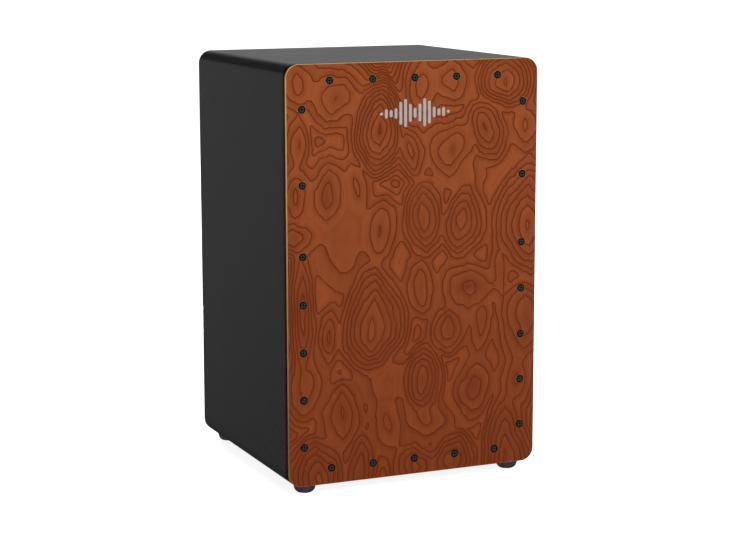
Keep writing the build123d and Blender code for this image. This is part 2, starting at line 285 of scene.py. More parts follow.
# ---------------------------------------------------------------- burl figure
# Growth-ring eyes of the veneer: x from the middle and z above the tapa's lower edge, half-width
# and half-height of the outermost ring, its lean to the right in degrees, and how many rings it holds.
EYES = (
    (-91, 421, 26, 25, 30, 2.2),
    (-42, 386, 34, 50, 0, 7.4),
    (110, 436, 36, 40, 0, 6.0),
    (85, 379, 24, 40, -25, 4.4),
    (45, 361, 32, 36, 10, 3.2),
    (-104, 318, 20, 41, 5, 2.4),
    (-71, 324, 13, 30, -8, 1.3),
    (12, 290, 28, 47, -5, 5.2),
    (62, 284, 27, 42, 12, 4.6),
    (-42, 274, 22, 33, 5, 2.5),
    (5, 213, 18, 30, -5, 2.3),
    (-50, 177, 39, 62, 6, 6.6),
    (-102, 168, 14, 32, 0, 2.6),
    (40, 162, 25, 28, 0, 3.3),
    (78, 163, 14, 30, 3, 2.3),
    (10, 105, 26, 42, 0, 5.0),
    (-90, 74, 21, 34, 0, 2.4),
    (73, 96, 15, 26, 5, 1.4),
    (134, 163, 38, 50, 0, 4.6),
    (143, 275, 46, 66, 0, 6.2),
    (67, 208, 34, 30, 10, 2.6),
    (-34, 56, 17, 32, -20, 1.4),
    (-118, 8, 34, 48, 0, 5.5),
    (-68, 8, 18, 34, 0, 3.0),
    (0, 5, 26, 26, 0, 3.5),
    (47, 8, 30, 34, 15, 4.2),
    (117, 10, 30, 75, 0, 5.5),
    (-5, 362, 22, 30, -10, 3.5),
    (10, 430, 15, 26, 0, 1.4),
    (-137, 383, 9, 20, 0, 1.3),
    (-138, 325, 16, 32, 0, 2.2),
    (-141, 275, 30, 25, 0, 3.0),
    (-83, 260, 26, 38, 15, 1.3),
    (102, 225, 12, 40, 0, 1.6),
    (-35, 110, 24, 26, 20, 1.2),
    (-133, 190, 14, 70, 0, 3.4),
    (15, 62, 26, 22, 0, 1.6),
    (58, 330, 24, 14, 0, 1.0),
    (-138, 440, 20, 20, 0, 1.5),
    (45, 440, 18, 22, 0, 1.5),
    (133, 385, 18, 26, 0, 1.6),
    (-128, 118, 18, 30, 0, 1.6),
    (128, 100, 20, 34, 0, 2.0),
)
DARK_CORES = ((45, 362, 5, 7), (-104, 318, 5, 18), (67, 208, 17, 6), (73, 97, 9, 12), (-42, 385, 5, 9))

# The figure wanders coarse to fine: size of the noise, how far it moves a place, and its detail.
BURL_DRIFTS = ((70, 20, 0.0), (21, 10, 1.0), (6.0, 3.0, 1.5))
DRIFT_FIBRES = (1.0, 1.0, 0.6)
DRIFT_ACROSS, DRIFT_ALONG = 0.8, 1.3
SWELL_SIZE = 60
SWELL_RINGS = 2.4
RING_GROWTH = 1.7
EYE_MERGE = 1.4
EYE_POINT = 0.36
ONE_OVER_E = 1 / math.e

# Lines in millimetres from the ring's edge, slopes in rings per millimetre.
SLOPE_STEP = 0.3
LEAST_SLOPE = 0.012
LINE_BLUR = (0.15, 1.0)
SHADE_REACH = 3.6
SMUDGE_SLOPE = (0.012, 0.05)


def eye_reach(x, z, middle_x, middle_z, half_width, half_height, lean):
    """Squared distance from an eye's middle, 1 on its outermost ring, with a point above and below."""
    cos, sin = math.cos(math.radians(lean)), math.sin(math.radians(lean))
    across_start = (middle_z * sin - middle_x * cos) / half_width
    along_start = -(middle_x * sin + middle_z * cos) / half_height
    part = z.math("MULTIPLY_ADD", -sin / half_width, across_start)
    across = x.math("MULTIPLY_ADD", cos / half_width, part)
    part = z.math("MULTIPLY_ADD", cos / half_height, along_start)
    along = x.math("MULTIPLY_ADD", sin / half_height, part)
    tip = abs(across).math("MULTIPLY_ADD", EYE_POINT, along * along)
    return (across * across).math("MULTIPLY_ADD", 1 - EYE_POINT, tip)


def burl_height_group():
    """Node group: the growth-ring height, in rings, at a place given in millimetres."""
    group = bpy.data.node_groups.new("burl_height", "ShaderNodeTree")
    group.interface.new_socket("Vector", in_out="INPUT", socket_type="NodeSocketVector")
    group.interface.new_socket("Height", in_out="OUTPUT", socket_type="NodeSocketFloat")
    tree = Tree(group)
    place = tree.node("NodeGroupInput")
    for size, reach, detail in BURL_DRIFTS:
        fibres = tree.vector("MULTIPLY", place, DRIFT_FIBRES)
        drift = tree.vector("SUBTRACT", tree.noise(fibres, size, detail, colour=True), MIDDLE_GREY)
        reaches = (DRIFT_ACROSS * reach, 0.0, DRIFT_ALONG * reach)
        place = tree.vector("MULTIPLY_ADD", drift, reaches, place)
    swell = tree.noise(place, SWELL_SIZE, 1.0) * SWELL_RINGS
    x, _, z = tree.parts(place)
    merged = 0.0
    for middle_x, middle_z, half_width, half_height, lean, rings in EYES:
        reach = eye_reach(x, z, middle_x, middle_z, half_width, half_height, lean)
        depth = reach ** (RING_GROWTH / 2)
        peak = math.exp(EYE_MERGE * rings)
        merged = ((1 / peak) ** depth).math("MULTIPLY_ADD", peak, merged)
    height = merged.math("LOGARITHM", math.e).math("MULTIPLY_ADD", -1 / EYE_MERGE, swell)
    output = group.nodes.new("NodeGroupOutput")
    group.links.new(height.socket, output.inputs[0])
    return group


def ring_lines(tree, place):
    """Growth lines of even width, the shade on one side, a smudge where it is flat, the ring's number."""
    group = burl_height_group()

    def height_at(offset):
        return tree.node("ShaderNodeGroup", {"node_tree": group}, [tree.vector("ADD", place, offset)])

    height = height_at((0, 0, 0))
    across = height_at((SLOPE_STEP, 0, 0)) - height
    along = height_at((0, 0, SLOPE_STEP)) - height
    slope = ((across * across + along * along) ** 0.5 / SLOPE_STEP).most(LEAST_SLOPE)
    phase = height.fraction()
    above = phase / slope
    below = (1 - phase) / slope
    line = 1 - above.least(below).ease(*LINE_BLUR)
    shade = ONE_OVER_E ** (above / SHADE_REACH)
    smudge = 1 - slope.ease(*SMUDGE_SLOPE)
    return line, shade, smudge, height.math("FLOOR")


# ---------------------------------------------------------------- finishes
def in_millimetres(tree):
    return tree.scale(object_place(tree), 1 / MM)


def stretched(tree, place, length_axis, factor):
    """The place with its length axis shrunk, so a noise runs along that axis like fibres."""
    scale = [1.0, 1.0, 1.0]
    scale["xyz".index(length_axis)] = factor
    return tree.vector("MULTIPLY", place, scale)


def veneer_material(look):
    tapa_low, tapa_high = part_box("tapa")
    lower_edge = tapa_low.z / MM
    upper_edge = tapa_high.z / MM
    face = tapa_low.y / MM
    back = tapa_high.y / MM

    def build(tree):
        place = in_millimetres(tree)
        figure_place = tree.vector("SUBTRACT", place, (0.0, 0.0, lower_edge))
        line, shade, smudge, ring = ring_lines(tree, tree.vector("MULTIPLY", figure_place, (1.0, 0.0, 1.0)))
        x, y, z = tree.parts(place)
        ring_tone = tree.node("ShaderNodeTexWhiteNoise", {"noise_dimensions": "1D"}, {"W": ring})
        fibres = tree.noise(stretched(tree, place, "z", 0.03), 0.55, 2.0)
        streaks = tree.noise(stretched(tree, place, "z", 0.08), 4.0, 3.0)
        clouds = tree.noise(place, 45, 2.0)
        height_share = (z - lower_edge) / (upper_edge - lower_edge)
        # Painted light: the wood runs from the lit colour at the top to the painted shade colour at the
        # bottom.
        wood = tree.mix(height_share.ease(0.0, 1.0), tuple(look.shaded_lower_colour), tuple(look.lit_upper_colour))
        tone = 0.58 + ring_tone * 0.16 + fibres * 0.20 + streaks * 0.26 + clouds * 0.18
        wood = tree.scale(wood, tone)
        core = 0.0
        for core_x, core_z, half_width, half_height in DARK_CORES:
            across = (x - core_x) / half_width
            along = (z - (core_z + lower_edge)) / half_height
            core = ONE_OVER_E ** (across * across + along * along) + core
        core = (core * (streaks * 1.4 + 0.1)).clamp()
        line_colour = tuple(look.line_colour)
        shade_colour = tree.vector("MULTIPLY", wood, SHADE_TINT)
        wood = tree.mix(shade * look.shade_strength, wood, shade_colour)
        wood = tree.mix(core * 0.7 + smudge * (streaks - 0.25).clamp(), wood, shade_colour)
        fade = look.line_strength * (0.3 + tree.noise(place, 26, 2.0) * 1.3).clamp()
        wood = tree.mix(line * fade, wood, line_colour)

        layer = (y - face - VENEER_THICKNESS) / PLY_THICKNESS
        cross_grain = (layer * 0.5).fraction().math("GREATER_THAN", 0.5)
        glue = 1 - layer.fraction().math("PINGPONG", 0.5).ease(0.02, 0.10)
        end_grain = tree.noise(place, 0.35, 2.0)
        ply = tree.mix(cross_grain, PLY_LIGHT, PLY_DARK)
        ply = tree.scale(ply, 0.8 + end_grain * 0.4)
        ply = tree.mix(glue * 0.5, ply, PLY_GLUE)
        # Painted shade: the ply edge darkens towards the bottom of the tapa, where less light reaches it.
        ply = tree.mix(height_share.ease(0.0, 0.95) * 0.85 + 0.15, PLY_PAINTED_SHADE, ply)
        back_fibres = tree.noise(stretched(tree, place, "z", 0.02), 1.2, 4.0)
        back_wood = tree.scale(tree.mix(back_fibres, PLY_LIGHT, BACK_BIRCH), 0.9)
        is_edge = (y - face).ease(VENEER_THICKNESS - VENEER_EDGE_BLUR, VENEER_THICKNESS + VENEER_EDGE_BLUR)
        is_back = y.ease(back - 0.06, back - 0.03)
        base = tree.mix(is_back, tree.mix(is_edge, wood, ply), back_wood)
        roughness = look.roughness + line * 0.05 + is_edge * 0.3 + (fibres - 0.5) * 0.1
        pores = tree.noise(stretched(tree, place, "z", 0.05), 0.3, 2.0)
        relief = pores.ease(0.52, 0.75) * -1.0 - line * 0.8
        return base, roughness, tree.bump(relief, 0.012 * MM, 0.8)

    return new_material("burl_veneer_satin", build, {"Specular IOR Level": VENEER_SPECULAR})


def laminate_material(look):
    panel_low, panel_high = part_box("left_side_panel")
    inner_half = -panel_high.x / MM
    shell_front = panel_low.y / MM
    inner_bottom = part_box("bottom_panel")[1].z / MM
    inner_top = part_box("seat_panel")[0].z / MM

    def build(tree):
        place = in_millimetres(tree)
        x, y, z = tree.parts(place)
        pebble = tree.noise(place, 2.0, 2.0)
        cloud = tree.noise(place, 60, 3.0)
        scuff = tree.noise(stretched(tree, place, "y", 0.2), 9.0, 5.0, 0.62).ease(0.62, 0.82)
        skin = tree.scale(tuple(look.laminate_colour[:3]), 0.85 + cloud * 0.3 + scuff * 0.25)
        within = abs(x).math("LESS_THAN", inner_half + RAW_EDGE)
        within *= z.math("GREATER_THAN", inner_bottom - RAW_EDGE)
        within *= z.math("LESS_THAN", inner_top + RAW_EDGE)
        chips = tree.noise(place, 0.6, 3.0, 0.7)
        # Painted reflection: the laminate goes near black along its rounded front edge, in place of the dark
        # surroundings its roundover reflects.
        edge = 1 - (y - shell_front).ease(*PAINTED_DARK_FRONT_EDGE)
        skin = tree.scale(skin, 1 - edge * 0.95)
        board = tree.mix(chips, tuple(look.board_colour), tuple(v * 0.45 for v in look.board_colour))
        base = tree.mix(within, skin, board)
        roughness = look.roughness + (cloud - 0.5) * 0.08 + scuff * 0.1 + within * 0.4
        relief = pebble + within * chips * 2.0
        return base, roughness, tree.bump(relief, 0.03 * MM, 0.05)

    return new_material("satin_black_laminate", build, {"Specular IOR Level": look.sheen})


def back_board_material(look):
    def build(tree):
        place = in_millimetres(tree)
        _, y, _ = tree.parts(place)
        grain = tree.noise(stretched(tree, place, "x", 0.04), 1.1, 4.0)
        cloud = tree.noise(place, 40, 3.0)
        base = tree.scale(tuple(look.laminate_colour[:3]), 1.1 + cloud * 0.4 + grain * 0.25)
        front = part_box("back_panel")[0].y / MM
        raw = 1 - (y - front).ease(*BACK_RAW_FRONT)
        wood = tree.scale(tree.mix(grain, PLY_LIGHT, BACK_BIRCH), 0.8)
        return tree.mix(raw, base, wood), 0.42 + grain * 0.14 + raw * 0.2, tree.bump(grain, 0.06 * MM, 0.7)

    return new_material("painted_back_board", build, {"Specular IOR Level": 0.35})


def timber_material(name, length_axis, colours, ring_spacing):
    """Plain sawn timber: growth rings seen along the length, fine fibres and a low fibre relief."""
    def build(tree):
        place = in_millimetres(tree)
        drift = tree.vector("SUBTRACT", tree.noise(place, 60, 2.0, colour=True), MIDDLE_GREY)
        bent = tree.vector("MULTIPLY_ADD", drift, (9.0, 9.0, 9.0), stretched(tree, place, length_axis, 0.02))
        radius = tree.vector("LENGTH", tree.vector("SUBTRACT", bent, TIMBER_HEART), out=1)
        ring = (radius / ring_spacing).fraction()
        late_wood = ring.ease(0.35, 0.9) * (1 - ring.ease(0.93, 1.0))
        fibres = tree.noise(stretched(tree, place, length_axis, 0.03), 0.5, 3.0)
        cloud = tree.noise(place, 25, 2.0)
        base = tree.mix(late_wood * 0.75 + fibres * 0.2, *colours)
        base = tree.scale(base, 0.85 + cloud * 0.3)
        return base, 0.55 + fibres * 0.2, tree.bump(fibres + late_wood * 0.5, 0.05 * MM, 0.7)

    return new_material(name, build, {"Specular IOR Level": 0.35})


def screw_places():
    """Middle of each tapa screw by edge, x and z in millimetres from the CAD boxes of its row or column."""
    places = {}
    for edge in ("top", "bottom"):
        low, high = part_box(f"tapa_screws_{edge}")
        middle = (low.z + high.z) / 2 / MM
        first = low.x / MM + SCREW_HEAD
        places[edge] = [(first + index * ROW_PITCH, middle) for index in range(ROW_COUNT)]
    for edge in ("left", "right"):
        low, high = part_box(f"tapa_screws_{edge}")
        middle = (low.x + high.x) / 2 / MM
        first = low.z / MM + SCREW_HEAD
        places[edge] = [(middle, first + rise) for rise in COLUMN_RISES]
    return places


def black_screw_material(name, look, places, front, facing):
    """Black coated screws: dark rolled rim, worn inner disc and a cross darkened deep in its recess by
    painted shade.
    """
    def build(tree):
        place = in_millimetres(tree)
        x, y, z = tree.parts(place)
        depth = (y - front) * facing
        recess = depth.ease(*SCREW_CROSS)
        nearest = 100.0
        for screw_x, screw_z in places:
            across, along = x - screw_x, z - screw_z
            nearest = (across * across + along * along).least(nearest)
        rim = (nearest ** 0.5).ease(SCREW_DISC - SCREW_RIM_BLUR, SCREW_DISC + SCREW_RIM_BLUR)
        wear = tree.noise(place, 0.8, 4.0, 0.65)
        disc = tree.scale(tuple(look.screw_disc[:3]), 0.7 + wear * 0.6)
        base = tree.mix(rim, disc, tuple(look.screw_colour))
        # Painted shade: the cross recess goes near black with its depth, where shade falls.
        base = tree.mix(recess, base, RECESS_PAINTED_SHADE)
        return base, 0.34 + wear * 0.14 + recess * 0.4, tree.bump(wear, 0.02 * MM, 0.6)

    return new_material(name, build, {"Specular IOR Level": 0.12})


def metal_material(name, colours, roughness, size, axis="z"):
    """Bare metal with drawn or rolled streaks and faint blotches."""
    def build(tree):
        place = in_millimetres(tree)
        streaks = tree.noise(stretched(tree, place, axis, 0.08), size, 3.0)
        blotch = tree.noise(place, 6 * size + 2, 3.0, 0.6)
        base = tree.mix(blotch.ease(0.45, 0.75) * 0.5 + streaks * 0.2, *colours)
        return base, roughness + streaks * 0.12 + blotch * 0.08, tree.bump(streaks, 0.02 * MM, 0.6)

    return new_material(name, build, {"Metallic": 1.0})


def rubber_material(look):
    def build(tree):
        place = in_millimetres(tree)
        speckle = tree.noise(place, 0.5, 3.0)
        smear = tree.noise(place, 5.0, 3.0, 0.6)
        base = tree.scale(tuple(look.rubber_colour[:3]), 0.8 + smear * 0.5)
        return base, 0.14 + smear * 0.12, tree.bump(speckle, 0.02 * MM, 0.5)

    return new_material("moulded_rubber", build, {"Specular IOR Level": 0.6})


def nylon_material():
    def build(tree):
        place = in_millimetres(tree)
        haze = tree.noise(place, 1.6, 3.0)
        base = tree.mix(haze, *NYLON)
        return base, 0.38 + haze * 0.1, tree.bump(haze, 0.02 * MM, 0.4)

    return new_material("natural_nylon", build, {"Specular IOR Level": 0.45})


def emblem_material(look):
    def build(tree):
        place = in_millimetres(tree)
        brushed = tree.noise(stretched(tree, place, "x", 0.05), 0.25, 2.0)
        haze = tree.noise(place, 8, 2.0)
        base = tree.scale(tuple(look.metal_colour[:3]), 0.86 + brushed * 0.16 + haze * 0.12)
        return base, 0.34 + brushed * 0.14, tree.bump(brushed, 0.01 * MM, 0.5)

    return new_material("silver_foil", build, {"Metallic": 0.35, "Specular IOR Level": 0.5})


# ---------------------------------------------------------------- modelling helpers
def new_piece(name, bm, material, body, smooth=True):
    """Make a scene object of a bmesh given in metres, dressed, riding on a body."""
    mesh = bpy.data.meshes.new(name)
    for face in bm.faces:
        face.smooth = smooth
    bm.to_mesh(mesh)
    bm.free()
    mesh.materials.append(material)
    piece = bpy.data.objects.new(name, mesh)
    bpy.context.scene.collection.objects.link(piece)
    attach(piece, body)
    return piece


def repeat_sideways(bm, count, pitch):
    """Copy all that is in the bmesh to the right, count pieces in all."""
    source = bm.verts[:] + bm.edges[:] + bm.faces[:]
    for index in range(1, count):
        copied = bmesh.ops.duplicate(bm, geom=source)["geom"]
        verts = [part for part in copied if isinstance(part, bmesh.types.BMVert)]
        bmesh.ops.translate(bm, verts=verts, vec=(index * pitch, 0, 0))


def wire_line(side):
    """Lower and upper end of the first wire's axis, and the wire's radius, from the CAD solids."""
    low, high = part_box(f"snare_wires_{side}")
    radius = WIRE_RADIUS * MM
    rise, run = high.z - low.z, high.y - low.y
    lean = math.atan2(run, rise)
    for _ in range(3):
        lean = math.atan2(run - 2 * radius * math.cos(lean), rise - 2 * radius * math.sin(lean))
    sin, cos = math.sin(lean), math.cos(lean)
    lower = Vector((low.x + radius, high.y - radius * cos, low.z + radius * sin))
    upper = Vector((low.x + radius, low.y + radius * cos, high.z - radius * sin))
    return lower, upper, radius


def snare_coils(side, size):
    """Ten close coils of spring wire in place of the solid wires."""
    lower, upper, radius = wire_line(side)
    axis = upper - lower
    strand = size.strand_diameter / 2
    turns = round(axis.length / size.coil_pitch)
    steps = turns * COIL_STEPS
    bm = bmesh.new()
    ring = bmesh.ops.create_circle(bm, cap_ends=False, segments=COIL_SIDES, radius=strand)["verts"]
    stand_up = Matrix.Rotation(math.pi / 2, 4, "X")
    bmesh.ops.transform(bm, matrix=Matrix.Translation((radius - strand, 0, strand)) @ stand_up, verts=ring)
    step_up = (axis.length - 2 * strand) / steps
    bmesh.ops.spin(
        bm, geom=bm.verts[:] + bm.edges[:], cent=(0, 0, 0), axis=(0, 0, 1), dvec=(0, 0, step_up),
        angle=turns * 2 * math.pi, steps=steps, use_merge=False, use_duplicate=False,
    )
    bmesh.ops.holes_fill(bm, edges=[edge for edge in bm.edges if edge.is_boundary], sides=COIL_SIDES)
    bmesh.ops.recalc_face_normals(bm, faces=bm.faces[:])
    turn = Vector((0, 0, 1)).rotation_difference(axis).to_matrix().to_4x4()
    bmesh.ops.transform(bm, matrix=Matrix.Translation(lower) @ turn, verts=bm.verts[:])
    repeat_sideways(bm, WIRE_COUNT, WIRE_PITCH * MM)
    return bm


def solder_beads(side, size):
    """A flattened bead over each wire's lower end on the brass plate."""
    lower, upper, radius = wire_line(side)
    axis = (upper - lower).normalized()
    bm = bmesh.new()
    bmesh.ops.create_icosphere(bm, subdivisions=2, radius=1.0)
    bead = Vector((size.bead_width / 2, size.bead_height, size.bead_length / 2))
    bmesh.ops.scale(bm, vec=bead, verts=bm.verts[:])
    bmesh.ops.bisect_plane(
        bm, geom=bm.verts[:] + bm.edges[:] + bm.faces[:], plane_co=(0, radius * 0.9, 0),
        plane_no=(0, 1, 0), clear_outer=True, dist=1e-7,
    )
    bmesh.ops.holes_fill(bm, edges=[edge for edge in bm.edges if edge.is_boundary], sides=0)
    bmesh.ops.recalc_face_normals(bm, faces=bm.faces[:])
    turn = Vector((0, 0, 1)).rotation_difference(axis).to_matrix().to_4x4()
    middle = lower + axis * size.bead_length * 0.45
    bmesh.ops.transform(bm, matrix=Matrix.Translation(middle) @ turn, verts=bm.verts[:])
    repeat_sideways(bm, WIRE_COUNT, WIRE_PITCH * MM)
    return bm


def sound_wave_bar(x, z, width, height, y_front, y_back):
    """One upright bar with round ends and a softened front rim."""
    bm = bmesh.new()
    bmesh.ops.create_cube(bm, size=1.0)
    place = Matrix.Translation((x, (y_front + y_back) / 2, z))
    scale = Matrix.Diagonal((width, y_back - y_front, height, 1.0))
    bmesh.ops.transform(bm, matrix=place @ scale, verts=bm.verts[:])
    deep_edges = [edge for edge in bm.edges if abs(edge.verts[0].co.y - edge.verts[1].co.y) > 1e-6]
    bmesh.ops.bevel(
        bm, geom=deep_edges, offset=width * 0.499, offset_type="OFFSET", segments=8, profile=0.5,
        affect="EDGES", material=-1,
    )
    front = [edge for edge in bm.edges if all(vert.co.y < y_front + 1e-6 for vert in edge.verts)]
    bmesh.ops.bevel(
        bm, geom=front, offset=(y_back - y_front) * 0.3, offset_type="OFFSET", segments=2,
        profile=0.5, affect="EDGES", material=-1,
    )
    return bm


def emblem_mesh(size):
    """A sound wave of upright bars, tallest near the middle."""
    tapa_low, tapa_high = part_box("tapa")
    middle_z = tapa_high.z - size.drop
    y_front = tapa_low.y - size.proud
    joined = bmesh.new()
    for index in range(size.bars):
        x = (index - (size.bars - 1) / 2) * size.pitch
        share = index / (size.bars - 1)
        swell = math.sin(math.pi * share) ** 0.8
        beat = 0.62 + 0.38 * math.cos(2 * math.pi * share * WAVE_BEATS)
        height = size.bar_width + (size.height - size.bar_width) * swell * beat
        bar = sound_wave_bar(x, middle_z, size.bar_width, height, y_front, tapa_low.y + size.proud)
        loose = bpy.data.meshes.new("bar")
        bar.to_mesh(loose)
        bar.free()
        joined.from_mesh(loose)
        bpy.data.meshes.remove(loose)
    bmesh.ops.recalc_face_normals(joined, faces=joined.faces[:])
    return joined


# ---------------------------------------------------------------- studio
def area_light(name, location, target, width, height, power):
    lamp = bpy.data.lights.new(name, "AREA")
    lamp.shape = "RECTANGLE"
    lamp.size, lamp.size_y = width, height
    lamp.energy = power
    light = bpy.data.objects.new(name, lamp)
    bpy.context.scene.collection.objects.link(light)
    aim = Vector(target) - Vector(location)
    light.matrix_world = Matrix.Translation(location) @ aim.to_track_quat("-Z", "Y").to_matrix().to_4x4()
    return light


def floor_material(look):
    """Pale paper that glows to white away from the drum and takes a soft shadow near it."""
    material = bpy.data.materials.new("studio_paper")
    material.use_nodes = True
    shader = material.node_tree.nodes["Principled BSDF"]
    tree = Tree(material.node_tree)
    place = object_place(tree)
    away = tree.vector("LENGTH", place, out=1)
    fibre = tree.noise(place, 0.02, 3.0)
    paper = tree.scale(tuple(look.paper_colour[:3]), 0.99 + fibre * 0.02)
    glow = look.near_glow + away.ease(look.glow_start, look.glow_end) * (look.far_glow - look.near_glow)
    light = tree.scale(WHITE, glow)
    material.node_tree.links.new(paper.socket, shader.inputs["Base Color"])
    material.node_tree.links.new(light.socket, shader.inputs["Emission Color"])
    shader.inputs["Emission Strength"].default_value = 1.0
    shader.inputs["Roughness"].default_value = 0.9
    shader.inputs["Specular IOR Level"].default_value = 0.0
    seen_from_below = tree.node("ShaderNodeNewGeometry", None, None, 6)
    clear = tree.node("ShaderNodeBsdfTransparent")
    paper_shader = Sock(tree, shader.outputs[0])
    mixed = tree.node("ShaderNodeMixShader", None, [seen_from_below, paper_shader, clear])
    output = material.node_tree.nodes["Material Output"]
    material.node_tree.links.new(mixed.socket, output.inputs[0])
    return material


def wall_material(look):
    """White paper wall, softly mottled, that only the camera sees."""
    material = bpy.data.materials.new("studio_wall_paper")
    material.use_nodes = True
    material.node_tree.nodes.clear()
    tree = Tree(material.node_tree)
    mottle = tree.noise(object_place(tree), 0.5, 2.0)
    paper = tree.scale(WHITE, look.far_glow * 0.98 + mottle * 0.04)
    glow = tree.node("ShaderNodeEmission", None, {"Color": paper})
    output = material.node_tree.nodes.new("ShaderNodeOutputMaterial")
    material.node_tree.links.new(glow.socket, output.inputs[0])
    return material


def stage_piece(name, bm, material):
    mesh = bpy.data.meshes.new(name)
    bm.to_mesh(mesh)
    bm.free()
    mesh.materials.append(material)
    piece = bpy.data.objects.new(name, mesh)
    bpy.context.scene.collection.objects.link(piece)
    piece.visible_glossy = False
    return piece


def lay_paper(look):
    """A wide floor and a round wall at its far edge."""
    floor = bmesh.new()
    bmesh.ops.create_grid(floor, x_segments=8, y_segments=8, size=look.floor_half)
    stage_piece("studio_floor", floor, floor_material(look))
    wall = bmesh.new()
    bmesh.ops.create_circle(wall, cap_ends=False, segments=96, radius=look.floor_half * 0.95)
    bmesh.ops.translate(wall, verts=wall.verts[:], vec=(0, 0, -look.wall_height))
    raised = bmesh.ops.extrude_edge_only(wall, edges=wall.edges[:])["geom"]
    rim = [part for part in raised if isinstance(part, bmesh.types.BMVert)]
    bmesh.ops.translate(wall, verts=rim, vec=(0, 0, 2 * look.wall_height))
    paper_wall = stage_piece("studio_wall", wall, wall_material(look))
    paper_wall.visible_diffuse = False


def studio_world(look):
    """Dark walls, a grey card at the back right, a dim floor behind, a lit front and a mild ceiling."""
    world = bpy.data.worlds.new("studio_world")
    world.use_nodes = True
    world.node_tree.nodes.clear()
    tree = Tree(world.node_tree)
    direction = tree.node("ShaderNodeTexCoord", None, None, 0)
    right, back, rise = tree.parts(direction)
    card = rise.ease(*CARD_BOTTOM) * (1 - rise.ease(*CARD_TOP))
    card = card * right.ease(*CARD_RIGHT) * back.ease(*CARD_BACK)
    floor_top = GROUND_TOP - GROUND_TOP * right.ease(*GROUND_RIGHT)
    ground = rise.ease(*GROUND_RISE) * (1 - (rise - floor_top).ease(*GROUND_RIM)) * back.ease(*FAR_SIDE)
    front = (-back).ease(*FAR_SIDE) * (1 - rise.ease(*FRONT_TOP))
    wall = look.dark_wall + card * (look.grey_card - look.dark_wall) + ground * look.back_floor
    wall = wall + rise.ease(*CEILING_RISE) * (look.ceiling - look.dark_wall) + front * look.front_wall
    background = world.node_tree.nodes.new("ShaderNodeBackground")
    colour = tree.scale(WHITE, wall)
    world.node_tree.links.new(colour.socket, background.inputs["Color"])
    output = world.node_tree.nodes.new("ShaderNodeOutputWorld")
    world.node_tree.links.new(background.outputs[0], output.inputs[0])
    bpy.context.scene.world = world


def studio_camera(look):
    data = bpy.data.cameras.new("studio_camera")
    data.sensor_width = 36.0
    data.lens = look.lens
    data.clip_start, data.clip_end = 0.05, 300.0
    camera = bpy.data.objects.new("studio_camera", data)
    camera.location = look.camera_place
    camera.rotation_euler = look.camera_turn
    bpy.context.scene.collection.objects.link(camera)
    bpy.context.scene.camera = camera


# ---------------------------------------------------------------- what a user may change
def colour_property(name, description, default):
    return bpy.props.FloatVectorProperty(
        name=name, description=description, default=default, size=4, min=0.0, max=1.0, subtype="COLOR"
    )


def length_property(name, description, default):
    return bpy.props.FloatProperty(
        name=name, description=description, default=default, min=0.0, unit="LENGTH", precision=5
    )


def share_property(name, description, default, highest=1.0):
    return bpy.props.FloatProperty(
        name=name, description=description, default=default, min=0.0, max=highest, subtype="FACTOR"
    )


def power_property(name, description, default):
    return bpy.props.FloatProperty(
        name=name, description=description, default=default, min=0.0, unit="POWER"
    )


class VeneerLook(bpy.types.PropertyGroup):
    """Colours and gloss of the burl veneer on the playing face."""

    # Painted light: the two wood colours are one wood, lit at the top and darkened by painted shade at the
    # bottom, as light falls from above.
    lit_upper_colour: colour_property("Upper wood", "Wood colour at the tapa's top", (0.308, 0.0755, 0.022, 1))
    shaded_lower_colour: colour_property("Lower wood", "Wood colour at the bottom", (0.238, 0.050, 0.0115, 1))
    line_colour: colour_property("Growth lines", "Colour of the thin growth lines", (0.120, 0.015, 0.0, 1))
    line_strength: share_property("Line strength", "How strongly the growth lines show", 0.95)
    shade_strength: share_property("Shade strength", "How strongly each line is shaded on one side", 0.75)
    roughness: share_property("Roughness", "Roughness of the tapa's satin finish", 0.36)


class ShellLook(bpy.types.PropertyGroup):
    """Colours and gloss of the box."""

    laminate_colour: colour_property("Laminate", "Colour of the black laminate", (0.018, 0.018, 0.0175, 1))
    board_colour: colour_property("Fibreboard", "Colour of the bare board inside", (0.32, 0.20, 0.11, 1))
    roughness: share_property("Roughness", "Roughness of the laminate", 0.20)
    sheen: share_property("Specular level", "Strength of the laminate's reflections", 0.28)


class HardwareLook(bpy.types.PropertyGroup):
    """Colours of screws, feet and fittings."""

    screw_colour: colour_property("Screws", "Colour of the screws' rims", (0.002, 0.002, 0.002, 1))
    screw_disc: colour_property("Screw discs", "Colour inside the rims", (0.050, 0.050, 0.052, 1))
    rubber_colour: colour_property("Feet", "Colour of the rubber feet", (0.045, 0.030, 0.046, 1))


class SnareSize(bpy.types.PropertyGroup):
    """Sizes of the coiled snare wires and their solder."""

    strand_diameter: length_property("Strand", "Diameter of the spring wire", 0.00036)
    coil_pitch: length_property("Pitch", "Rise of one turn", 0.0009)
    bead_width: length_property("Bead width", "Width of a solder bead", 0.0026)
    bead_length: length_property("Bead length", "Length of a solder bead", 0.0042)
    bead_height: length_property("Bead height", "Half the height of a solder bead", 0.0012)


class EmblemSize(bpy.types.PropertyGroup):
    """Sizes and colour of the sound-wave emblem."""

    bars: bpy.props.IntProperty(name="Bars", description="How many bars", default=15, min=3, max=41)
    bar_width: length_property("Bar width", "Width of one bar", 0.0034)
    pitch: length_property("Pitch", "Distance between bars", 0.0057)
    height: length_property("Height", "Height of the tallest bar", 0.034)
    drop: length_property("Drop", "Distance of the middle below the tapa's top", 0.056)
    proud: length_property("Proud", "How far the foil stands off the veneer", 0.00008)
    metal_colour: colour_property("Silver", "Colour of the foil", (0.56, 0.53, 0.50, 1))


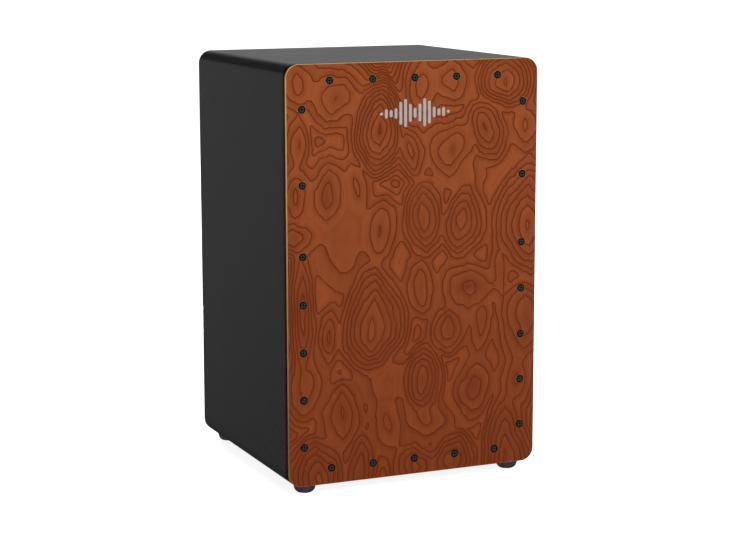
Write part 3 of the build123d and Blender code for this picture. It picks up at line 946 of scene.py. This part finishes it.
class StudioLook(bpy.types.PropertyGroup):
    """Floor, lights and camera."""

    paper_colour: colour_property("Paper", "Colour of the floor", (0.80, 0.80, 0.80, 1))
    floor_half: length_property("Floor half width", "Half the width of the floor", 60.0)
    wall_height: length_property("Wall height", "Height of the paper wall", 45.0)
    near_glow: share_property("Near glow", "Light given off by the floor near the drum", 0.88, 4.0)
    far_glow: share_property("Far glow", "Light given off by the floor far away", 1.1, 4.0)
    glow_start: length_property("Glow start", "Where the floor begins to brighten", 0.5)
    glow_end: length_property("Glow end", "Where the floor has its far glow", 2.5)
    grey_card: share_property("Grey card", "Light from the card at the back right", 0.27, 4.0)
    dark_wall: share_property("Dark wall", "Light from the dark walls", 0.02, 4.0)
    back_floor: share_property("Back floor", "Light the floor behind the drum reflects", 0.17, 4.0)
    front_wall: share_property("Front wall", "Light from the studio in front of the drum", 0.25, 4.0)
    ceiling: share_property("Ceiling", "Light from overhead", 0.35, 4.0)
    key_power: power_property("Key light", "Power of the large front light", 22.0)
    fill_power: power_property("Fill light", "Power of the left light", 2.5)
    top_power: power_property("Top light", "Power of the light above", 18.0)
    hole_power: power_property("Hole light", "Power of the low light into the sound hole", 5.0)
    right_power: power_property("Right light", "Power of the right light", 14.0)
    back_power: power_property("Back light", "Power of the light behind", 42.0)
    lens: bpy.props.FloatProperty(name="Lens", description="Focal length in mm", default=96.45, min=10.0)
    camera_place: bpy.props.FloatVectorProperty(
        name="Camera", description="Place of the camera", default=(-0.9006, -2.0752, 0.6054),
        subtype="TRANSLATION", unit="LENGTH",
    )
    camera_turn: bpy.props.FloatVectorProperty(
        name="Camera turn", description="Rotation of the camera",
        default=tuple(math.radians(angle) for angle in (80.275, 0.11, -23.607)), subtype="EULER",
    )


# ---------------------------------------------------------------- operators
class DRUM_OT_tapa(bpy.types.Operator):
    """Give the playing face its burl veneer and bare ply edge"""

    bl_idname = "box_drum.tapa"
    bl_label = "Tapa veneer"

    def execute(self, context):
        dress("tapa", veneer_material(context.scene.drum_veneer))
        return {"FINISHED"}


class DRUM_OT_shell(bpy.types.Operator):
    """Give the box panels their black laminate and the back board its paint"""

    bl_idname = "box_drum.shell"
    bl_label = "Shell and back"

    def execute(self, context):
        laminate = laminate_material(context.scene.drum_shell)
        for name in SHELL:
            dress(name, laminate)
        dress("back_panel", back_board_material(context.scene.drum_shell))
        return {"FINISHED"}


class DRUM_OT_woodwork(bpy.types.Operator):
    """Give battens, corner blocks and the snare bar their timber"""

    bl_idname = "box_drum.woodwork"
    bl_label = "Inner woodwork"

    def execute(self, context):
        across = timber_material("pine_across", "x", PINE, PINE_RINGS)
        upright = timber_material("pine_upright", "z", PINE, PINE_RINGS)
        deep = timber_material("pine_deep", "y", PINE, PINE_RINGS)
        for row in ("front", "rear"):
            for end in ("top", "bottom"):
                dress(f"{row}_batten_{end}", across)
            for side in ("left", "right"):
                dress(f"{row}_batten_{side}", upright)
        for end in ("top", "bottom"):
            for side in ("left", "right"):
                dress(f"corner_block_{end}_{side}", deep)
        dress("snare_bar", timber_material("beech_bar", "x", BEECH, BEECH_RINGS))
        return {"FINISHED"}


class DRUM_OT_hardware(bpy.types.Operator):
    """Give screws, brackets and washers their metal and nylon"""

    bl_idname = "box_drum.hardware"
    bl_label = "Screws and fittings"

    def execute(self, context):
        look = context.scene.drum_hardware
        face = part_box("tapa_screws_left")[0].y / MM
        for edge, places in screw_places().items():
            black = black_screw_material(f"black_screws_{edge}", look, places, face, 1.0)
            dress(f"tapa_screws_{edge}", black)
        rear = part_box("back_screws")[1].y / MM
        dress("back_screws", black_screw_material("black_screws_back", look, BACK_SCREWS, rear, -1.0))
        zinc = metal_material("zinc_plated_steel", ZINC, 0.26, 0.5)
        fittings = ["snare_bracket_screws", "foot_screws", "foot_washers", "snare_plate_screws"]
        for side in ("left", "right"):
            fittings += [f"snare_bracket_{side}", f"snare_pivot_screw_{side}"]
        for name in fittings:
            dress(name, zinc)
        dress("snare_friction_washers", nylon_material())
        return {"FINISHED"}


class DRUM_OT_feet(bpy.types.Operator):
    """Give the feet their moulded rubber"""

    bl_idname = "box_drum.feet"
    bl_label = "Rubber feet"

    def execute(self, context):
        rubber = rubber_material(context.scene.drum_hardware)
        for end in ("front", "rear"):
            for side in ("left", "right"):
                dress(f"foot_{end}_{side}", rubber)
        return {"FINISHED"}


class DRUM_OT_snares(bpy.types.Operator):
    """Replace the solid snare wires with coils soldered to brass plates"""

    bl_idname = "box_drum.snares"
    bl_label = "Snare coils"

    def execute(self, context):
        size = context.scene.drum_snares
        steel = metal_material("snare_steel", STEEL, 0.18, 0.3)
        brass = metal_material("rolled_brass", BRASS, 0.24, 0.4, "x")
        tin = metal_material("solder_tin", TIN, 0.30, 0.5)
        for side in ("left", "right"):
            dress(f"snare_plate_{side}", brass)
            coils = new_piece(
                f"snare_coils_{side}", snare_coils(side, size), steel, "snare_bar"
            )
            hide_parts(f"snare_wires_{side}")
            new_piece(f"snare_solder_{side}", solder_beads(side, size), tin, "snare_bar")
        return {"FINISHED"}


class DRUM_OT_emblem(bpy.types.Operator):
    """Put the silver sound-wave emblem on the tapa"""

    bl_idname = "box_drum.emblem"
    bl_label = "Emblem"

    def execute(self, context):
        size = context.scene.drum_emblem
        new_piece("tapa_emblem", emblem_mesh(size), emblem_material(size), "box", smooth=False)
        return {"FINISHED"}


class DRUM_OT_studio(bpy.types.Operator):
    """Lay the pale floor and set up light, sky and camera"""

    bl_idname = "box_drum.studio"
    bl_label = "Studio"

    def execute(self, context):
        look = context.scene.drum_studio
        lay_paper(look)
        studio_world(look)
        middle = (0, 0, (cad_low[2] + cad_high[2]) / 2)
        for name, place, width, height, mirrored in LIGHTS:
            target = HOLE_TARGET if name == "hole" else middle
            light = area_light(f"{name}_light", place, target, width, height, getattr(look, f"{name}_power"))
            light.visible_glossy = mirrored
        studio_camera(look)
        context.scene.view_settings.view_transform = "Standard"
        return {"FINISHED"}


class DRUM_PT_panel(bpy.types.Panel):
    """Lists the drum's finishing steps"""

    bl_idname = "DRUM_PT_panel"
    bl_label = "Box Drum"
    bl_space_type = "VIEW_3D"
    bl_region_type = "UI"
    bl_category = "Box Drum"

    def draw(self, context):
        column = self.layout.column(align=True)
        for operator in OPERATORS:
            column.operator(operator.bl_idname)
        for title in LOOKS:
            look = getattr(context.scene, title)
            box = self.layout.box()
            box.label(text=title.replace("_", " "))
            for name in look.__annotations__:
                box.prop(look, name)


OPERATORS = (
    DRUM_OT_tapa, DRUM_OT_shell, DRUM_OT_woodwork, DRUM_OT_hardware, DRUM_OT_feet,
    DRUM_OT_snares, DRUM_OT_emblem, DRUM_OT_studio,
)
LOOKS = {
    "drum_veneer": VeneerLook,
    "drum_shell": ShellLook,
    "drum_hardware": HardwareLook,
    "drum_snares": SnareSize,
    "drum_emblem": EmblemSize,
    "drum_studio": StudioLook,
}
CLASSES = (*LOOKS.values(), *OPERATORS, DRUM_PT_panel)


def register():
    for cls in CLASSES:
        bpy.utils.register_class(cls)
    for name, group in LOOKS.items():
        setattr(bpy.types.Scene, name, bpy.props.PointerProperty(type=group))


def unregister():
    for name in LOOKS:
        delattr(bpy.types.Scene, name)
    for cls in reversed(CLASSES):
        bpy.utils.unregister_class(cls)


def main():
    register()
    for operator in OPERATORS:
        category, name = operator.bl_idname.split(".")
        getattr(getattr(bpy.ops, category), name)()


if __name__ == "__main__":
    main()
